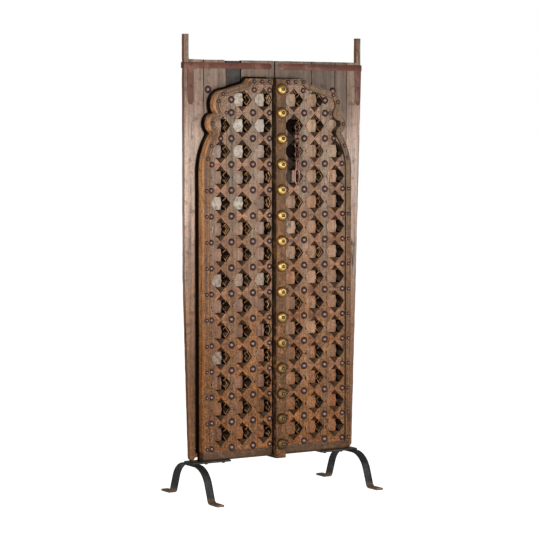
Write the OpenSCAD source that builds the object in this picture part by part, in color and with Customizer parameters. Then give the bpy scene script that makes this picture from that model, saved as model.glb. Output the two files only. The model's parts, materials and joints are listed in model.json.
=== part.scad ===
// Pair of antique pivot-hung door leaves with a cusped-arch star lattice, standing on two iron feet.
// Front is -Y, the floor is Z = 0, and X = 0 is the line where the two leaves meet.

/* [Leaves] */
// Height of the leaf tops above the floor
leaf_top = 1987; // [1800:1:2100]
// Height of the lower ends of the backing boards
board_bottom = 182; // [176:1:200]
// Distance from the meeting line to the outer edge of each leaf, at the top
leaf_w = 476; // [460:1:520]
// How far the worn outer edge of the left leaf draws in at the bottom
left_taper = 24; // [0:1:36]
// How far the worn outer edge of the right leaf draws in at the bottom
right_taper = 45; // [0:1:56]
// Height at which the left outer edge starts to taper
left_taper_z = 1000; // [600:10:1700]
// Height at which the right outer edge starts to taper
right_taper_z = 1780; // [900:10:1800]
// Thickness of the backing boards
board_t = 26; // [18:1:34]
// Gap between the two leaves
meeting_gap = 3; // [2:0.5:6]
// Gap at the joints between backing boards
joint_gap = 1.2; // [0.6:0.1:2]
// Lean of the inner edge of each hinge stile between top and bottom
joint_lean = 20; // [0:1:30]
// How far the dark board of the left leaf lies behind and below the others
sunk_board = 3; // [1:0.5:6]

/* [Pivot posts] */
// Width of the pivot posts above the leaves
post_w = 25; // [20:1:32]
// Height of the pivot posts above the leaf tops
post_h = 113; // [60:1:150]
// Width of the worn lower pivot where it leaves the board
stub_w = 30; // [24:1:40]
// Width of the worn lower pivot at its end
stub_end_w = 12; // [8:1:20]

/* [Carved field] */
// Height of the underside of the carved field, which rests on the foot plates
field_bottom = 169; // [165:1:172]
// Height of the flat top of the arch
field_top = 1902; // [1890:1:1915]
// How much narrower half of the field is than a leaf
field_margin = 80; // [74:1:86]
// Distance from the meeting line to the centre of the field, towards the left
field_shift = 18; // [14:1:22]
// Thickness of the cusped board behind the lattice
field_board_t = 18; // [12:1:24]
// Thickness of the lattice bars
lattice_t = 40; // [32:1:48]
// Width of the raised border along the arch
border_w = 28; // [24:1:30]
// How far the border stands in front of the lattice
border_proud = 10; // [4:1:14]
// Height of the bottom rail
bottom_rail_h = 41; // [34:1:46]
// Bevel along the lower front edge of the bottom rail
rail_bevel = 12; // [4:1:18]

/* [Cusped arch] */
// Share of the field's width that the flat top takes
flat_share = 0.379; // [0.35:0.001:0.4]
// Radius of the hollow beside the flat top
hollow_r = 38; // [34:1:42]
// Distance of the upper lobe's centre from the outer edge of the field
upper_in = 127; // [122:1:132]
// Height of the upper lobe's centre above the end of the straight jamb
upper_rise = 304; // [300:1:308]
// Radius of the upper lobe
upper_lobe_r = 67; // [62:1:72]
// Distance of the middle lobe's centre from the outer edge of the field
middle_in = 78; // [74:1:82]
// Height of the middle lobe's centre above the end of the straight jamb
middle_rise = 217; // [213:1:221]
// Radius of the middle lobe
middle_lobe_r = 47; // [44:1:52]
// Radius of the lower lobe
lower_lobe_r = 301; // [295:1:306]
// Height at which the straight jamb ends and the lower lobe begins
spring_z = 1480; // [1470:1:1490]

/* [Star lattice] */
// Height of the lowest row of large studs
stud_z0 = 226; // [222:1:230]
// Distance between rows of large studs
row_pitch = 117; // [116:0.5:118]
// Distance from the middle of the centre stile to the first star openings
first_open = 54; // [52:0.5:56]
// Width of the narrow bar along the jamb
jamb_bar_w = 25; // [22:0.5:28]
// How much nearer the centre the stars of the left leaf lie
left_star_shift = 7; // [4:0.5:9]
// Thinnest wood left beside a notch
notch_wall = 2; // [1:0.5:4]
// Width of the square part of a star opening, as a share of the distance between columns of stars
open_share = 0.546; // [0.52:0.002:0.57]
// Height of the cross rails at their ends
rail_h = 58; // [52:1:62]
// Depth of the notches in the upright bars, as a share of a bar's width
bar_notch_share = 0.408; // [0.3:0.002:0.43]
// Half height of the notches in the upright bars
bar_notch_h = 26; // [20:1:27]
// Depth of the notches in the cross rails
rail_notch_d = 25; // [18:1:26]
// Half width of the notches in the cross rails, as a share of a star opening
rail_notch_share = 0.387; // [0.3:0.001:0.44]
// Height of each ledge that steps the notches down
ledge_h = 10; // [6:0.5:10]
// Share of each notch that is cut to the full depth of the lattice
deep_share = 0.4; // [0:0.05:0.6]
// Width of the raised block in each star, as a share of the star opening
block_share = 0.79; // [0.6:0.005:0.84]
// Height of the raised block in each star
block_h = 58; // [50:1:58.5]
// How far the blocks stand above the cusped board
block_t = 11; // [6:1:26]
// How far the point on each side of a block reaches out
block_point = 4; // [2:1:6]
// Cut at the corners of the blocks
block_cut = 3; // [2:1:9]

/* [Centre stile] */
// Width of the centre stile
stile_w = 56; // [50:1:60]
// How far the centre stile stands in front of the lattice
stile_proud = 32; // [24:1:40]
// Bevel along the front edges of the centre stile
stile_bevel = 5; // [2:1:9]
// How far the centre stile hangs below the carved field
stile_drop = 10; // [0:1:14]
// Gap between the centre stile and the carving of the left leaf
stile_gap_left = 4; // [3:0.5:6]
// Gap between the centre stile and the carving of the right leaf
stile_gap_right = 1; // [0.5:0.5:3]
// Gap between the back of the centre stile and the boards of the left leaf
rebate_gap = 2; // [1:0.5:4]

/* [Studs and bosses] */
// Diameter of the large iron studs
stud_d = 34; // [28:1:38]
// Height of the large iron studs
stud_h = 13; // [8:1:16]
// Diameter of the small iron studs
small_stud_d = 18; // [12:1:22]
// Height of the small iron studs
small_stud_h = 8; // [5:1:10]
// Diameter of the brass bosses
boss_d = 54; // [46:1:56]
// Height of the brass bosses
boss_h = 16; // [10:1:20]
// Diameter of the iron nail heads on the bosses
nail_d = 16; // [10:1:18]
// Height of the iron nail heads
nail_h = 6; // [4:1:8]
// Diameter of the studs on the narrow bars
edge_stud_d = 27; // [20:1:28]
// Height of the studs on the narrow bars
edge_stud_h = 11; // [8:1:13]
// Gap between the studs on the narrow bars and their neighbours
stud_seat = 1; // [0.5:0.5:2]
// Diameter of the nails in the bottom rails
rail_nail_d = 11; // [8:1:14]
// Height of the nails in the bottom rails
rail_nail_h = 4; // [2:0.5:6]

/* [Iron straps] */
// Height of the band across the top of each leaf
strap_h = 27; // [20:1:34]
// Height of the lower edge of the band
strap_z = 1946; // [1940:1:1952]
// Thickness of the straps
strap_t = 3; // [2:0.5:5]
// Width of the upright arm of the strap
strap_arm_w = 34; // [28:1:42]
// Distance of the left strap's arm from the edge of the leaf
left_arm_in = 14; // [0:1:20]
// Length of the upright arm below the band
strap_arm_l = 162; // [120:1:164]
// Gap between the end of the band and the meeting line
strap_end_gap = 14; // [8:1:24]
// Diameter of the rivet heads
rivet_d = 13; // [9:1:16]
// Height of the rivet heads
rivet_h = 4; // [3:0.5:6]

/* [Fold hinges] */
// Height of the hinge plates
hinge_h = 90; // [72:1:120]
// Width of each hinge plate
hinge_w = 58; // [50:1:70]
// Thickness of the hinge plates
hinge_t = 4; // [3:0.5:5]
// Diameter of the hinge knuckles
knuckle_d = 14; // [12:0.5:18]
// Diameter of the hinge pins
pin_d = 7; // [5:0.5:8]
// Radial clearance of the pins in the knuckles
pin_clear = 0.06; // [0.03:0.01:0.1]
// Gap between the ends of neighbouring knuckles
knuckle_gap = 0.4; // [0.3:0.1:1]
// Height of the lowest hinge
hinge_z0 = 420; // [360:10:460]
// Distance between hinges
hinge_pitch = 640; // [600:10:660]

/* [Back ledges] */
// Height of each ledge across the back of the boards
ledger_h = 70; // [50:1:90]
// Thickness of the ledges
ledger_t = 20; // [14:1:26]
// Height of the middle of the lowest ledge
ledger_z0 = 290; // [270:10:300]
// Distance between ledges
ledger_pitch = 480; // [460:10:500]
// Distance from the meeting line to the ends of the ledges
ledger_in = 80; // [74:1:100]
// Distance from the outer edge of the leaf to the ends of the ledges
ledger_end = 66; // [56:1:96]

/* [Chain] */
// Thickness of the chain's wire
wire_d = 5; // [4:0.5:5.5]
// Diameter of a chain link, to the middle of its wire
link_d = 26; // [25:0.5:28]
// Gap between links where they hang on each other
link_gap = 0.4; // [0.3:0.1:0.6]
// Distance of the chain's plane from the lattice
chain_out = 30; // [29:0.5:34]
// Width of the staple, to the middle of its wire
staple_w = 18; // [16:1:20]
// Thickness of the hasp at the end of the chain
hasp_t = 5; // [4:0.5:6]
// Width of the hasp
hasp_w = 34; // [30:1:38]
// Width of the hasp's upper end
hasp_neck_w = 18; // [16:1:20]
// Length of the hasp's upper slot
hasp_eye_l = 30; // [24:1:34]
// Length of the hasp's lower slot
hasp_slot_l = 56; // [50:1:60]
// Width of the hasp's lower slot
hasp_slot_w = 14; // [10:1:16]
// Length of the hasp's pointed end
hasp_tip = 20; // [14:1:26]

/* [Feet] */
// Distance from the outer edge of the left leaf to the middle of its foot
left_foot_in = 26; // [20:1:36]
// Distance from the outer edge of the right leaf to the middle of its foot
right_foot_in = 72; // [56:1:80]
// Width of the flat bar that the feet are bent from
bar_w = 37; // [30:1:44]
// Thickness of that bar
bar_t = 10; // [8:0.5:12]
// Half length of the level stretch under the leaf
crown = 45; // [40:1:60]
// Radius of the bend below the level stretch, to the middle of the bar
crown_r = 110; // [100:1:115]
// Angle of the legs from upright
leg_angle = 21; // [16:1:26]
// Radius of the bend above the pads, to the middle of the bar
ankle_r = 20; // [16:1:24]
// Length of the pads
pad_l = 68; // [50:1:80]
// Length of the plate that carries the leaf
plate_l = 200; // [180:1:240]
// Width of the plate, front to back
plate_w = 84; // [78:1:90]
// Thickness of the plate
plate_t = 8; // [6:0.5:10]

/* [Hidden] */
$fn = 64;
star_rows = 14;
stud_rows = star_rows + 1;
columns = 3;
ledge_steps = 3;
boss_count = stud_rows;
hinge_count = 3;
ledger_count = 4;
link_count = 8;
eps = 0.01;

// Depths, from the back to the front
board_front = 16;
board_back = board_front + board_t;
field_front = board_front - field_board_t;
lattice_front = field_front - lattice_t;
border_front = lattice_front - border_proud;
stile_front = lattice_front - stile_proud;
chain_y = lattice_front - chain_out;

// Widths that follow the leaf
left_foot_w = leaf_w - left_taper;
right_foot_w = leaf_w - right_taper;
left_foot_x = leaf_w - left_foot_in;
right_foot_x = leaf_w - right_foot_in;
ledger_out = leaf_w - ledger_end;
field_w = leaf_w - field_margin;
flat_w = field_w * flat_share;
cell_pitch = (field_w - border_w - jamb_bar_w - first_open) / (columns - 1 + open_share);
open_w = cell_pitch * open_share;
first_cell = first_open + open_w / 2;
bar_notch_d = (cell_pitch - open_w) * bar_notch_share;
rail_notch_w = open_w * rail_notch_share;
block_w = open_w * block_share;

// Arch points, as distances from the centre of the field and heights
hollow_rise = 12;
hollow_c = [flat_w + sqrt(hollow_r * hollow_r - hollow_rise * hollow_rise), field_top + hollow_rise];
upper_c = [field_w - upper_in, spring_z + upper_rise];
middle_c = [field_w - middle_in, spring_z + middle_rise];
lower_c = [field_w - lower_lobe_r, spring_z];
pinch = crossing(lower_c, lower_lobe_r, middle_c, middle_lobe_r);
core_bottom = field_bottom + bottom_rail_h;

rail_top_z = field_top - border_w;
corner_row = star_rows - 1;
stile_x0 = -field_shift - stile_w / 2;
stile_x1 = -field_shift + stile_w / 2;
left_in = stile_w / 2 + stile_gap_left;
right_in = stile_w / 2 + stile_gap_right;
foot_top = field_bottom - plate_t;
link_r = link_d / 2;
link_rise = wire_d + link_gap;
link_pitch = link_d - link_rise;
chain_x = -field_shift + first_cell;
staple_z = cell_z(12) + staple_w / 2;
axis_y = board_back + knuckle_d / 2;

// Columns and rows of the blocks that are lost
left_lost = [];
right_lost = [[0, 11], [0, 12]];

// Shift of the stars in the leaf that is being made
$star_shift = 0;

// How far the jamb studs of the two highest rows lean in, where the arch closes in on them
corner_lean = [4, 50];
// How far the highest studs lie below the border, and lean in from the hollow of the arch
top_stud_drop = 24;
top_stud_lean = 7;

// Joints between the backing boards, and the worn corners at their tops
left_joints = leaf_w * [0.79, 0.542, 0.378];
right_joints = leaf_w * [0.836, 0.695, 0.42];
top_nick = [8, 24];

// Shares of the strap's arm at its bends, of the hinge plate and foot plate at their fixings
arm_shares = [0.94, 0.7, 0.35, 0.1];
arm_drops = [0.9, 1, 0.99, 0.88];
hinge_rivet_share = 0.65;
foot_bolt_shares = [0.4, 0.85];
rail_nail_shares = [0.15, 0.5, 0.85];
rail_nail_rise = 0.55;
band_rivets = 5;
lobe_stud_angles = [15, 60];
lower_stud_angles = [12, 24];

// Small fixed sizes
boss_crown_cut = 2.5;
top_boss_drop = 10;
stile_nail_rows = 3;
stile_nail_out = 12;
block_clear = 0.5;
pin_head_h = 4;
foot_bolt_d = 16;
foot_bolt_h = 6;
block_flat = block_h / 5;
hasp_tip_w = hasp_w / 5;
knuckle_h = hinge_h / 3;

function cell_u(c) = first_cell - $star_shift + c * cell_pitch;
function row_z(i) = stud_z0 + i * row_pitch;
function cell_z(j) = row_z(j) + row_pitch / 2;
function rows_below(z) = len([for (j = [0:star_rows - 1]) if (cell_z(j) + bar_notch_h < z) j]);
function rows_in(c) = c == columns - 1 ? star_rows - 1 : star_rows;
function bar_u0(k, inner) = k == 0 ? inner : cell_u(k - 1) + open_w / 2;
function bar_u1(k) = k == columns ? field_w - border_w : cell_u(k) - open_w / 2;
function notch_d(k, inner) = min(bar_notch_d, k == 0 ? bar_u1(0) - inner - notch_wall : bar_notch_d);
function bar_mid(k, inner) = (bar_u0(k, inner) + bar_u1(k)) / 2;
function link_z(n) = staple_z - staple_w / 2 + link_rise - link_r - (n - 1) * link_pitch;
function jamb_lean(i) = i < corner_row - 2 ? 0 : corner_lean[i - corner_row + 2];
function hinge_z(n) = hinge_z0 + n * hinge_pitch;
function reversed(list) = [for (n = [len(list) - 1:-1:0]) list[n]];

// Shared shapes

// Stands a flat outline (X, Z) up and gives it depth from back to front
module slab(front, back) {
  translate([0, back, 0])
    rotate([90, 0, 0])
      linear_extrude(back - front)
        children();
}

module on_left() { mirror([1, 0, 0]) children(); }

// Places field coordinates, measured outwards from the centre of the field
module left_field() {
  $star_shift = left_star_shift;
  translate([-field_shift, 0, 0]) mirror([1, 0, 0]) children();
}

module right_field() { translate([-field_shift, 0, 0]) children(); }

// Domed head on a vertical face, facing the front
module dome(d, h, y) {
  sphere_r = (d * d / 4 + h * h) / (2 * h);
  translate([0, y, 0])
    rotate([90, 0, 0])
      intersection() {
        translate([0, 0, h - sphere_r]) sphere(sphere_r);
        cylinder(d = d + 1, h = h + 1);
      }
}

module torus(mid_r, wire) {
  rotate_extrude() translate([mid_r, 0]) circle(d = wire);
}

// Points along an arc about a centre, from one angle to another
function arc(centre, r, from, to, steps) = [
  for (n = [0:steps]) let (a = from + (to - from) * n / steps) centre + r * [cos(a), sin(a)]
];

// Outer crossing of two circles
function crossing(c1, r1, c2, r2) =
  let (d = norm(c2 - c1), along = (c2 - c1) / d, a = (r1 * r1 - r2 * r2 + d * d) / (2 * d))
  c1 + a * along + sqrt(r1 * r1 - a * a) * [along[1], -along[0]];

function angle_at(point, centre) = atan2(point[1] - centre[1], point[0] - centre[0]);

// Outline of the cusped arch, from its inner edge and a base height up
module arch_2d(inner, base) {
  cusp = crossing(middle_c, middle_lobe_r, upper_c, upper_lobe_r);
  polygon(concat(
    [[inner, base], [field_w, base]],
    arc(lower_c, lower_lobe_r, 0, angle_at(pinch, lower_c), 12),
    arc(middle_c, middle_lobe_r, angle_at(pinch, middle_c) + 1, angle_at(cusp, middle_c), 12),
    arc(upper_c, upper_lobe_r, angle_at(cusp, upper_c) + 1, 90, 14),
    arc(hollow_c, hollow_r, 270, 180 + asin(hollow_rise / hollow_r), 10),
    [[inner, field_top]]
  ));
}

// Area inside the border
module core_2d() { offset(r = -border_w) arch_2d(-2 * border_w, field_bottom - 2 * border_w); }

module inside_border() {
  intersection() {
    children();
    slab(lattice_front - 1, field_front + 1) core_2d();
  }
}

// Backing boards

module board(points, sunk = 0) { slab(board_front + sunk, board_back) polygon(points); }

module hinge_stile(inner_top, taper_z, foot_w) {
  inner_bottom = inner_top - joint_lean;
  board([
    [leaf_w, leaf_top + post_h], [leaf_w - post_w, leaf_top + post_h],
    [leaf_w - post_w, leaf_top], [inner_top + joint_gap, leaf_top],
    [inner_bottom + joint_gap, board_bottom], [foot_w - stub_w, board_bottom],
    [foot_w - (stub_w + stub_end_w) / 2, field_bottom],
    [foot_w - (stub_w - stub_end_w) / 2, field_bottom],
    [foot_w, board_bottom], [leaf_w, taper_z]
  ]);
}

module left_hinge_stile() {
  color("#6b5443") on_left() hinge_stile(left_joints[0], left_taper_z, left_foot_w);
}

module left_plank_outer() {
  color("#755c49") on_left() board([
    [left_joints[0], leaf_top], [left_joints[0] - joint_lean, board_bottom],
    [left_joints[1] + joint_gap, board_bottom], [left_joints[1] + joint_gap, leaf_top - top_nick[1]],
    [left_joints[1] + top_nick[0], leaf_top]
  ]);
}

module left_plank_sunk() {
  color("#4a4643") on_left() board([
    [left_joints[1], leaf_top - sunk_board], [left_joints[1], board_bottom],
    [left_joints[2] + joint_gap, board_bottom], [left_joints[2] + joint_gap, leaf_top - sunk_board]
  ], sunk_board);
}

module left_plank_inner() {
  color("#755c49") on_left() inner_plank(left_joints[2]);
}

// The board along the meeting line, with a worn top corner
module inner_plank(outer) {
  board([
    [outer, leaf_top], [outer, board_bottom], [meeting_gap / 2, board_bottom],
    [meeting_gap / 2, leaf_top - top_nick[0]], [meeting_gap / 2 + top_nick[0] / 2, leaf_top]
  ]);
}

module right_hinge_stile() {
  color("#6b5443") hinge_stile(right_joints[0], right_taper_z, right_foot_w);
}

module right_plank_outer() {
  color("#755c49") board([
    [right_joints[0], leaf_top], [right_joints[0] - joint_lean, board_bottom],
    [right_joints[1] + joint_gap, board_bottom], [right_joints[1] + joint_gap, leaf_top]
  ]);
}

module right_plank_middle() {
  color("#6f5846") board([
    [right_joints[1], leaf_top], [right_joints[1], board_bottom],
    [right_joints[2] + joint_gap, board_bottom], [right_joints[2] + joint_gap, leaf_top]
  ]);
}

module right_plank_inner() { color("#755c49") inner_plank(right_joints[2]); }

module back_ledges() {
  for (n = [0:ledger_count - 1])
    translate([ledger_in, board_back, ledger_z0 - ledger_h / 2 + n * ledger_pitch])
      cube([ledger_out - ledger_in, ledger_t, ledger_h]);
}

module left_back_ledges() { color("#64503f") on_left() back_ledges(); }

module right_back_ledges() { color("#64503f") back_ledges(); }

// Carved field

module field_board(inner) {
  slab(field_front, board_front) arch_2d(inner, field_bottom);
}

module left_field_board() { color("#5a3d24") left_field() field_board(left_in); }

module right_field_board() { color("#5a3d24") right_field() field_board(right_in); }

module arch_border(inner) {
  slab(border_front, field_front)
    difference() {
      arch_2d(inner, core_bottom);
      core_2d();
    }
}

module left_arch_border() { color("#7a5433") left_field() arch_border(left_in); }

module right_arch_border() { color("#7a5433") right_field() arch_border(right_in); }

// Bar outline with a notch beside every star, each notch cut to a share of its full depth
function notched_side(u, inward, depth, rows, share) = [
  for (j = [0:rows - 1])
    for (p = [-1:1])
      [u + inward * (p == 0 ? depth * share : 0), cell_z(j) + p * bar_notch_h * share]
];

module bar_2d(k, inner, share) {
  u0 = bar_u0(k, inner);
  u1 = bar_u1(k);
  top = k == columns ? pinch[1] : rail_top_z;
  polygon(concat(
    [[u0, core_bottom]],
    k == 0 || share == 0 ? [] : notched_side(u0, 1, bar_notch_d, min(rows_in(k - 1), rows_below(top)), share),
    [[u0, top], [u1, top]],
    k == columns || share == 0 ? [] : reversed(notched_side(u1, -1, notch_d(k, inner), rows_in(k), share)),
    [[u1, core_bottom]]
  ));
}

// Lays the ledges of a notched piece on each other, the widest notch at the front
module stepped(base_share = deep_share) {
  base_front = lattice_front + ledge_steps * ledge_h;
  for (s = [0:ledge_steps]) {
    $share = base_share + (1 - base_share) * s / ledge_steps;
    front = base_front - s * ledge_h;
    slab(front, s == 0 ? field_front : front + ledge_h) children();
  }
}

module upright(k, inner) { inside_border() stepped() bar_2d(k, inner, $share); }

module left_upright(k) { color("#7d634c") left_field() upright(k, left_in); }

module right_upright(k) { color("#7d634c") right_field() upright(k, right_in); }

module left_upright_1() { left_upright(0); }

module left_upright_2() { left_upright(1); }

module left_upright_3() { left_upright(2); }

module left_upright_4() { left_upright(3); }

module right_upright_1() { right_upright(0); }

module right_upright_2() { right_upright(1); }

module right_upright_3() { right_upright(2); }

module right_upright_4() { right_upright(3); }

// Cross rail between two upright bars, notched above and below
module rail_2d(low, high, notch_low, notch_high, share) {
  half = open_w / 2;
  w = rail_notch_w * share;
  d = rail_notch_d * share;
  polygon(concat(
    [[-half, low]],
    notch_low && share > 0 ? [[-w, low], [0, low + d], [w, low]] : [],
    [[half, low], [half, high]],
    notch_high && share > 0 ? [[w, high], [0, high - d], [-w, high]] : [],
    [[-half, high]]
  ));
}

module cross_rail(c, i) {
  lowest = i == 0;
  highest = i == stud_rows - 1;
  low = lowest ? core_bottom : row_z(i) - rail_h / 2;
  high = highest ? rail_top_z : row_z(i) + rail_h / 2;
  translate([cell_u(c), 0, 0])
    stepped(highest ? 0 : deep_share) rail_2d(low, high, !lowest, !highest, $share);
}

module cross_rails() {
  for (c = [0:columns - 1])
    for (i = [0:rows_in(c) + (c == columns - 1 ? -1 : 0)])
      if (row_z(i) > spring_z) inside_border() cross_rail(c, i);
      else cross_rail(c, i);
}

module left_cross_rails() { color("#84684e") left_field() cross_rails(); }

module right_cross_rails() { color("#84684e") right_field() cross_rails(); }

// Solid filling under the upper lobe, where no star is cut
module corner_block() {
  low = row_z(corner_row) - rail_h / 2;
  inside_border()
    translate([cell_u(columns - 1), 0, 0])
      stepped() {
        rail_2d(low, field_top, true, false, $share);
        translate([open_w / 2 - eps, low]) square([border_w, field_top - low]);
      }
}

module left_corner_block() { color("#84684e") left_field() corner_block(); }

module right_corner_block() { color("#84684e") right_field() corner_block(); }

// One side of a star block: two cut corners, and a low point between them unless it leans on a bar
function block_side(x, z, point) = concat(
  [[x - block_cut, -z], [x, block_cut - z]],
  point > 0 ? [[x, -block_flat], [x + point, 0], [x, block_flat]] : [],
  [[x, z - block_cut], [x - block_cut, z]]
);

// Raised block in a star
module star_block(c, j, lean) {
  x = block_w / 2;
  z = block_h / 2;
  translate([cell_u(c) + lean, 0, cell_z(j)])
    slab(field_front - block_t, field_front)
      polygon(concat(block_side(x, z, lean > 0 ? 0 : block_point), -block_side(x, z, block_point)));
}

module star_blocks(lost, lean) {
  for (c = [0:columns - 1])
    for (j = [0:rows_in(c) - 1])
      if (len([for (gone = lost) if (gone == [c, j]) gone]) == 0)
        if (cell_z(j) > spring_z) inside_border() star_block(c, j, lean);
        else star_block(c, j, lean);
}

module left_star_blocks() {
  color("#a39a8c") left_field() star_blocks(left_lost, (open_w - block_w) / 2 - block_clear);
}

module right_star_blocks() { color("#9c8064") right_field() star_blocks(right_lost, 0); }

module bottom_rail(inner) {
  translate([inner, 0, 0])
    rotate([90, 0, 90])
      linear_extrude(field_w - inner)
        polygon([
          [field_front, field_bottom], [lattice_front + rail_bevel, field_bottom],
          [lattice_front, field_bottom + rail_bevel], [lattice_front, core_bottom],
          [field_front, core_bottom]
        ]);
}

module left_bottom_rail() { color("#6e4f33") left_field() bottom_rail(left_in); }

module right_bottom_rail() { color("#6e4f33") right_field() bottom_rail(right_in); }

// Studs

module stud_at(u, z) { translate([u, 0, z]) dome(stud_d, stud_h, lattice_front); }

module edge_stud_at(u, z) { translate([u, 0, z]) dome(edge_stud_d, edge_stud_h, lattice_front); }

// Large studs on the two wide bars, smaller ones on the narrow bars at the centre and the jamb
module iron_studs(inner) {
  inner_u = inner + stud_seat + edge_stud_d / 2;
  jamb_u = field_w - border_w - stud_seat - edge_stud_d / 2;
  corner_u = bar_mid(2, inner) + (stud_d + small_stud_d) / 2 + stud_seat;
  top_z = rail_top_z - top_stud_drop;
  for (i = [0:corner_row]) {
    for (k = [1, 2]) stud_at(bar_mid(k, inner), row_z(i));
    edge_stud_at(inner_u, row_z(i));
  }
  for (i = [0:corner_row - 1]) edge_stud_at(jamb_u - jamb_lean(i), row_z(i));
  translate([corner_u, 0, row_z(corner_row)]) dome(small_stud_d, small_stud_h, lattice_front);
  stud_at(bar_mid(2, inner), cell_z(corner_row));
  edge_stud_at(inner_u, top_z);
  edge_stud_at(bar_mid(1, inner) - top_stud_lean, top_z);
}

module left_iron_studs() { color("#4b3a37") left_field() iron_studs(left_in); }

module right_iron_studs() { color("#4b3a37") right_field() iron_studs(right_in); }

module small_stud(u, z) { translate([u, 0, z]) dome(small_stud_d, small_stud_h, border_front); }

module small_studs(inner) {
  jamb_u = field_w - border_w / 2;
  for (i = [0:stud_rows - 1])
    if (row_z(i) < spring_z) small_stud(jamb_u, row_z(i));
  for (u = [inner + small_stud_d, (inner + flat_w) / 2, flat_w - small_stud_d])
    small_stud(u, field_top - border_w / 2);
  for (a = lobe_stud_angles)
    small_stud(
      upper_c[0] + (upper_lobe_r - border_w / 2) * cos(a),
      upper_c[1] + (upper_lobe_r - border_w / 2) * sin(a)
    );
  small_stud(middle_c[0] + middle_lobe_r - border_w / 2, middle_c[1]);
  for (a = lower_stud_angles)
    small_stud(
      lower_c[0] + (lower_lobe_r - border_w / 2) * cos(a),
      lower_c[1] + (lower_lobe_r - border_w / 2) * sin(a)
    );
}

// Nails that hold the bottom rail
module rail_nails(inner) {
  for (share = rail_nail_shares)
    translate([inner + (field_w - inner) * share, 0, field_bottom + bottom_rail_h * rail_nail_rise])
      dome(rail_nail_d, rail_nail_h, lattice_front);
}

// Nails in the hinge stile, beside the foot of the arch
module stile_nails() {
  for (i = [0:stile_nail_rows - 1])
    translate([field_w + stile_nail_out, 0, row_z(i)]) dome(rail_nail_d, rail_nail_h, board_front);
}

// Stray stud on the boards, beside the shoulder of the arch
module shoulder_stud() {
  translate([upper_c[0] + upper_lobe_r, 0, upper_c[1] + upper_lobe_r])
    dome(stud_d, stud_h, board_front);
}

module left_small_studs() {
  color("#4b3a37") left_field() {
    small_studs(left_in);
    rail_nails(left_in);
    stile_nails();
    shoulder_stud();
  }
}

module right_small_studs() {
  color("#4b3a37") right_field() {
    small_studs(right_in);
    rail_nails(right_in);
    shoulder_stud();
  }
}

// Centre stile and its bosses

module centre_stile() {
  color("#5f4a39")
    translate([0, 0, field_bottom - stile_drop])
      linear_extrude(field_top - field_bottom + stile_drop)
        polygon([
          [stile_x0, stile_front + stile_bevel], [stile_x0 + stile_bevel, stile_front],
          [stile_x1 - stile_bevel, stile_front], [stile_x1, stile_front + stile_bevel],
          [stile_x1, board_front], [meeting_gap, board_front],
          [meeting_gap, board_front - rebate_gap], [stile_x0, board_front - rebate_gap]
        ]);
}

module each_boss() {
  for (i = [0:boss_count - 1])
    translate([-field_shift, 0, row_z(i) - (i == boss_count - 1 ? top_boss_drop : 0)]) children();
}

// Domed rose with a flat crown that the nail head sits on
module brass_bosses() {
  color("#c39a45")
    each_boss()
      intersection() {
        dome(boss_d, boss_h + boss_crown_cut, stile_front);
        translate([-boss_d, stile_front - boss_h, -boss_d])
          cube([2 * boss_d, boss_h, 2 * boss_d]);
      }
}

module boss_nails() {
  color("#2f2723") each_boss() dome(nail_d, nail_h, stile_front - boss_h);
}

// Iron straps at the upper corners

module strap_outline(arm_in) {
  end = meeting_gap + strap_end_gap + strap_h / 2;
  arm_x = leaf_w - arm_in;
  polygon(concat(
    [[leaf_w, strap_z + strap_h]],
    arc([end, strap_z + strap_h / 2], strap_h / 2, 90, 270, 16),
    [[arm_x - strap_arm_w, strap_z]],
    [
      for (n = [0:len(arm_shares) - 1])
        [arm_x - strap_arm_w * arm_shares[n], strap_z - strap_arm_l * arm_drops[n]]
    ],
    [[arm_x, strap_z], [leaf_w, strap_z]]
  ));
}

// The band lies on the boards and turns round the outer edge
module corner_strap(arm_in) {
  slab(board_front - strap_t, board_front) strap_outline(arm_in);
  translate([leaf_w - strap_t, board_front - strap_t, strap_z]) cube([2 * strap_t, strap_t, strap_h]);
  translate([leaf_w, board_front - strap_t, strap_z]) cube([strap_t, board_t + strap_t, strap_h]);
}

module left_corner_strap() { color("#6d4038") on_left() corner_strap(left_arm_in); }

module right_corner_strap() { color("#6d4038") corner_strap(eps); }

// Rivets on the band, the arm and the hinge plate of one leaf
module rivets(arm_in) {
  band_z = strap_z + strap_h / 2;
  first = meeting_gap + strap_end_gap + strap_h / 2;
  last = leaf_w - arm_in - strap_arm_w / 2;
  for (n = [0:band_rivets - 1])
    translate([first + n * (last - first) / (band_rivets - 1), 0, band_z])
      dome(rivet_d, rivet_h, board_front - strap_t);
  translate([last, 0, strap_z - strap_arm_l / 2]) dome(rivet_d, rivet_h, board_front - strap_t);
  for (n = [0:hinge_count - 1])
    for (side = [-1, 1])
      translate([hinge_w * hinge_rivet_share, board_back + hinge_t, hinge_z(n) + side * knuckle_h])
        mirror([0, 1, 0]) dome(rivet_d, rivet_h, 0);
}

module left_rivets() { color("#4d322c") on_left() rivets(left_arm_in); }

module right_rivets() { color("#4d322c") rivets(0); }

// Fold hinges on the back, along the meeting line

// Plate beside the meeting line, with the stretch of each knuckle that belongs to it
module hinge_plate(z, own) {
  bore_d = pin_d + 2 * pin_clear;
  difference() {
    union() {
      translate([knuckle_d / 2 + 1, board_back, z - hinge_h / 2])
        cube([hinge_w - knuckle_d / 2 - 1, hinge_t, hinge_h]);
      for (n = own)
        translate([0, axis_y, z - hinge_h / 2 + n * knuckle_h + knuckle_gap / 2]) {
          cylinder(d = knuckle_d, h = knuckle_h - knuckle_gap);
          translate([0, board_back - axis_y, 0])
            cube([knuckle_d / 2 + 2, hinge_t, knuckle_h - knuckle_gap]);
        }
    }
    translate([0, axis_y, z - hinge_h]) cylinder(d = bore_d, h = 2 * hinge_h);
  }
}

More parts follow.
